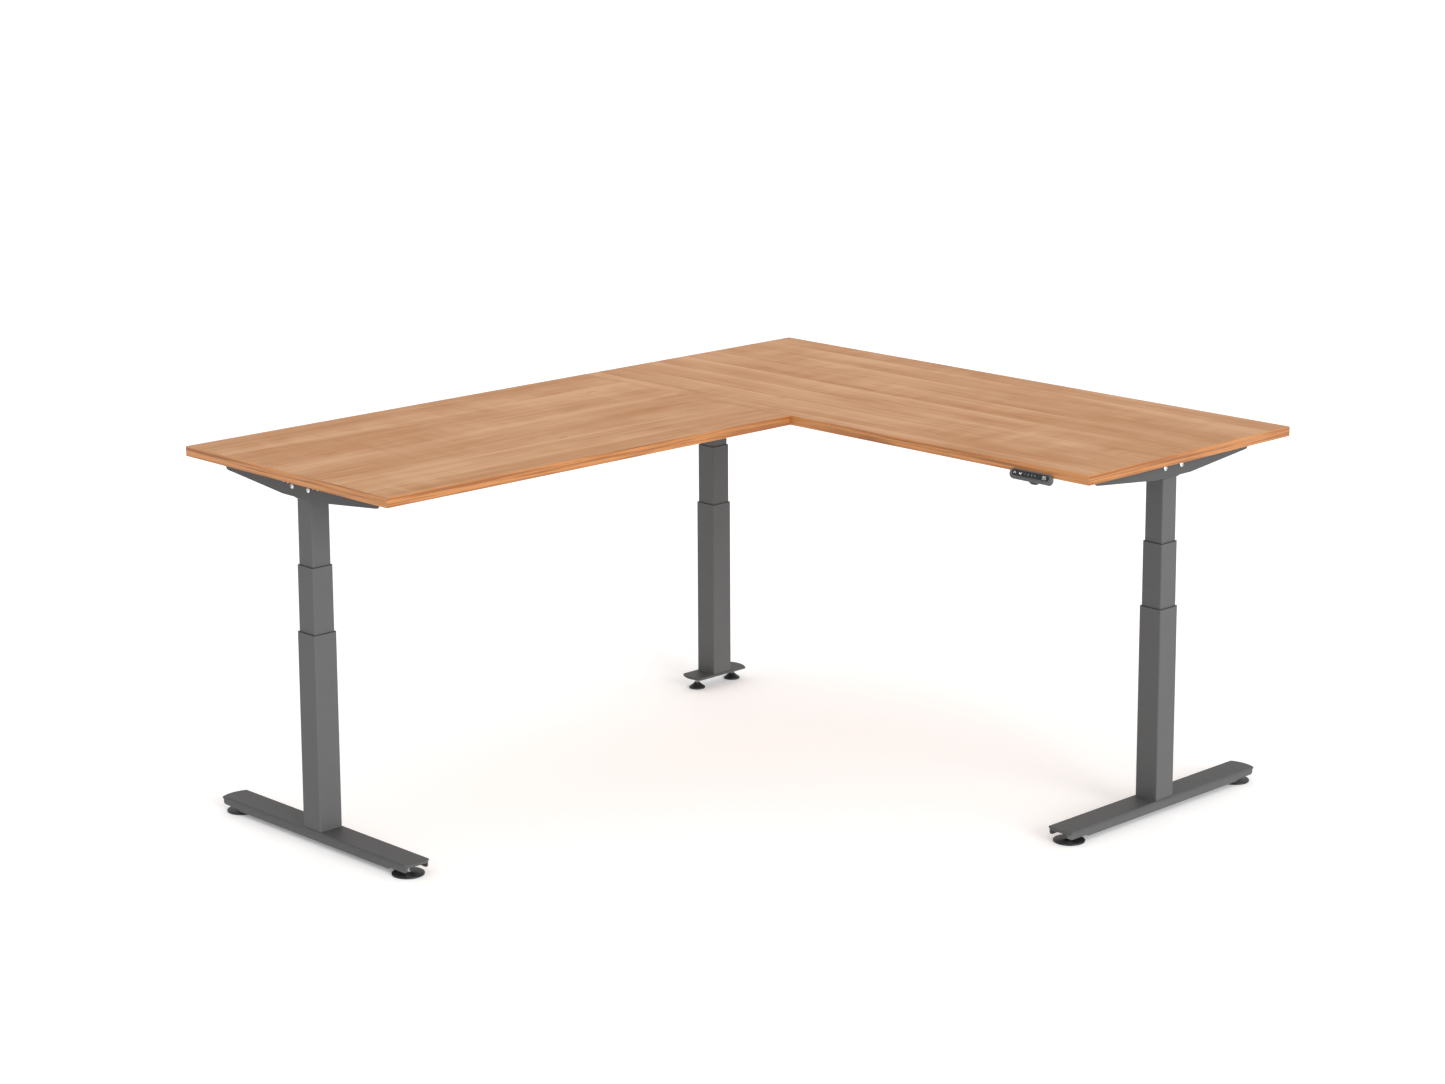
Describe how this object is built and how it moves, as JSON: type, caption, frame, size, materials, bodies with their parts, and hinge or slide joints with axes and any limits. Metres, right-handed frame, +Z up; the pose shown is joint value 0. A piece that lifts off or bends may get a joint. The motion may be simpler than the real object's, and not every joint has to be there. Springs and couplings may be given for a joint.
{
  "type": "height adjustable standing desk",
  "caption": "L-shaped electric sit-stand desk: wood-effect tops joined at a seam, square telescopic columns, T feet with round levellers, a short-footed corner leg and an edge keypad.",
  "frame": {"origin": "on the floor, under the middle of the whole outline", "axes": "+Z up; +X along the main top, from the corner leg to the right leg; the side top runs towards -Y, and users sit inside the corner, facing +Y or -X"},
  "size_m": [1.8, 2.12, 0.95],
  "materials": {
    "board_surface": "satin wood-grain melamine on particle board",
    "edge_band": "satin wood-grain edge band",
    "frame_paint": "fine textured anthracite powder coat",
    "motor_paint": "satin black paint",
    "zinc_steel": "zinc plated",
    "screw_steel": "bright zinc plated",
    "spindle_steel": "rolled thread, lightly greased",
    "glide_plastic": "matt black",
    "foot_plastic": "moulded black, fine texture",
    "box_plastic": "spark-eroded black",
    "keypad_plastic": "fine texture dark grey",
    "keypad_panel": "semi-gloss black",
    "keypad_key": "semi-gloss black with light printed symbols"
  },
  "bodies": {
    "right_base": {"right_outer_tube": "frame_paint", "right_lower_glide": "glide_plastic", "right_lower_screw": "spindle_steel", "right_foot_plate": "frame_paint", "right_foot_channel": "frame_paint"},
    "right_middle": {"right_middle_tube": "frame_paint", "right_upper_glide": "glide_plastic", "right_hollow_screw": "spindle_steel"},
    "desk": {"main_top": "board_surface", "main_top_edging": "edge_band", "side_top": "board_surface", "side_top_edging": "edge_band", "seam_plates": "zinc_steel", "frame_screws": "screw_steel", "main_rail_front": "frame_paint", "main_rail_rear": "frame_paint", "side_rail_left": "frame_paint", "side_rail_right": "frame_paint", "control_box": "box_plastic", "keypad_housing": "keypad_plastic", "keypad_panel": "keypad_panel", "left_bracket": "frame_paint", "left_gear_motor": "motor_paint", "left_inner_tube": "frame_paint", "left_drive_tube": "spindle_steel", "right_bracket": "frame_paint", "right_gear_motor": "motor_paint", "right_inner_tube": "frame_paint", "right_drive_tube": "spindle_steel", "corner_bracket": "frame_paint", "corner_gear_motor": "motor_paint", "corner_inner_tube": "frame_paint", "corner_drive_tube": "spindle_steel"},
    "left_middle": {"left_middle_tube": "frame_paint", "left_upper_glide": "glide_plastic", "left_hollow_screw": "spindle_steel"},
    "left_base": {"left_outer_tube": "frame_paint", "left_lower_glide": "glide_plastic", "left_lower_screw": "spindle_steel", "left_foot_plate": "frame_paint", "left_foot_channel": "frame_paint"},
    "corner_middle": {"corner_middle_tube": "frame_paint", "corner_upper_glide": "glide_plastic", "corner_hollow_screw": "spindle_steel"},
    "corner_base": {"corner_outer_tube": "frame_paint", "corner_lower_glide": "glide_plastic", "corner_lower_screw": "spindle_steel", "corner_base_plate": "frame_paint"},
    "left_leveller_left": {"left_leveller_left": "foot_plastic"},
    "left_leveller_right": {"left_leveller_right": "foot_plastic"},
    "right_leveller_front": {"right_leveller_front": "foot_plastic"},
    "right_leveller_rear": {"right_leveller_rear": "foot_plastic"},
    "corner_leveller_rear": {"corner_leveller_rear": "foot_plastic"},
    "corner_leveller_front": {"corner_leveller_front": "foot_plastic"},
    "up_key": {"up_key": "keypad_key"},
    "down_key": {"down_key": "keypad_key"},
    "memory_key_1": {"memory_key_1": "keypad_key"},
    "memory_key_2": {"memory_key_2": "keypad_key"},
    "memory_key_3": {"memory_key_3": "keypad_key"},
    "memory_key_4": {"memory_key_4": "keypad_key"}
  },
  "joints": [
    {"name": "right_lower_lift", "type": "slide", "parent": "right_base", "child": "right_middle", "axis": [0, 0, 1], "range_m": [-0.155, 0.17]},
    {"name": "right_upper_lift", "type": "slide", "parent": "right_middle", "child": "desk", "axis": [0, 0, 1], "range_m": [-0.155, 0.17]},
    {"name": "left_upper_lift", "type": "slide", "parent": "desk", "child": "left_middle", "axis": [0, 0, -1], "range_m": [-0.155, 0.17]},
    {"name": "left_lower_lift", "type": "slide", "parent": "left_middle", "child": "left_base", "axis": [0, 0, -1], "range_m": [-0.155, 0.17]},
    {"name": "corner_upper_lift", "type": "slide", "parent": "desk", "child": "corner_middle", "axis": [0, 0, -1], "range_m": [-0.155, 0.17]},
    {"name": "corner_lower_lift", "type": "slide", "parent": "corner_middle", "child": "corner_base", "axis": [0, 0, -1], "range_m": [-0.155, 0.17]},
    {"name": "left_leveller_left_screw", "type": "slide", "parent": "left_base", "child": "left_leveller_left", "axis": [0, 0, -1], "range_m": [-0.006, 0.004]},
    {"name": "left_leveller_right_screw", "type": "slide", "parent": "left_base", "child": "left_leveller_right", "axis": [0, 0, -1], "range_m": [-0.006, 0.004]},
    {"name": "right_leveller_front_screw", "type": "slide", "parent": "right_base", "child": "right_leveller_front", "axis": [0, 0, -1], "range_m": [-0.006, 0.004]},
    {"name": "right_leveller_rear_screw", "type": "slide", "parent": "right_base", "child": "right_leveller_rear", "axis": [0, 0, -1], "range_m": [-0.006, 0.004]},
    {"name": "corner_leveller_rear_screw", "type": "slide", "parent": "corner_base", "child": "corner_leveller_rear", "axis": [0, 0, -1], "range_m": [-0.006, 0.004]},
    {"name": "corner_leveller_front_screw", "type": "slide", "parent": "corner_base", "child": "corner_leveller_front", "axis": [0, 0, -1], "range_m": [-0.006, 0.004]},
    {"name": "up_key_press", "type": "slide", "parent": "desk", "child": "up_key", "axis": [0, 0.9354, -0.3535], "range_m": [0, 0.0005], "stiffness_N_per_m": 1500, "springref_m": -0.0003},
    {"name": "down_key_press", "type": "slide", "parent": "desk", "child": "down_key", "axis": [0, 0.9354, -0.3535], "range_m": [0, 0.0005], "stiffness_N_per_m": 1500, "springref_m": -0.0003},
    {"name": "memory_key_1_press", "type": "slide", "parent": "desk", "child": "memory_key_1", "axis": [0, 0.9354, -0.3535], "range_m": [0, 0.0005], "stiffness_N_per_m": 1500, "springref_m": -0.0003},
    {"name": "memory_key_2_press", "type": "slide", "parent": "desk", "child": "memory_key_2", "axis": [0, 0.9354, -0.3535], "range_m": [0, 0.0005], "stiffness_N_per_m": 1500, "springref_m": -0.0003},
    {"name": "memory_key_3_press", "type": "slide", "parent": "desk", "child": "memory_key_3", "axis": [0, 0.9354, -0.3535], "range_m": [0, 0.0005], "stiffness_N_per_m": 1500, "springref_m": -0.0003},
    {"name": "memory_key_4_press", "type": "slide", "parent": "desk", "child": "memory_key_4", "axis": [0, 0.9354, -0.3535], "range_m": [0, 0.0005], "stiffness_N_per_m": 1500, "springref_m": -0.0003}
  ],
  "couplings": [
    {"joint": "right_upper_lift", "follows": "right_lower_lift", "ratio": 1},
    {"joint": "left_upper_lift", "follows": "right_lower_lift", "ratio": 1},
    {"joint": "left_lower_lift", "follows": "right_lower_lift", "ratio": 1},
    {"joint": "corner_upper_lift", "follows": "right_lower_lift", "ratio": 1},
    {"joint": "corner_lower_lift", "follows": "right_lower_lift", "ratio": 1}
  ]
}
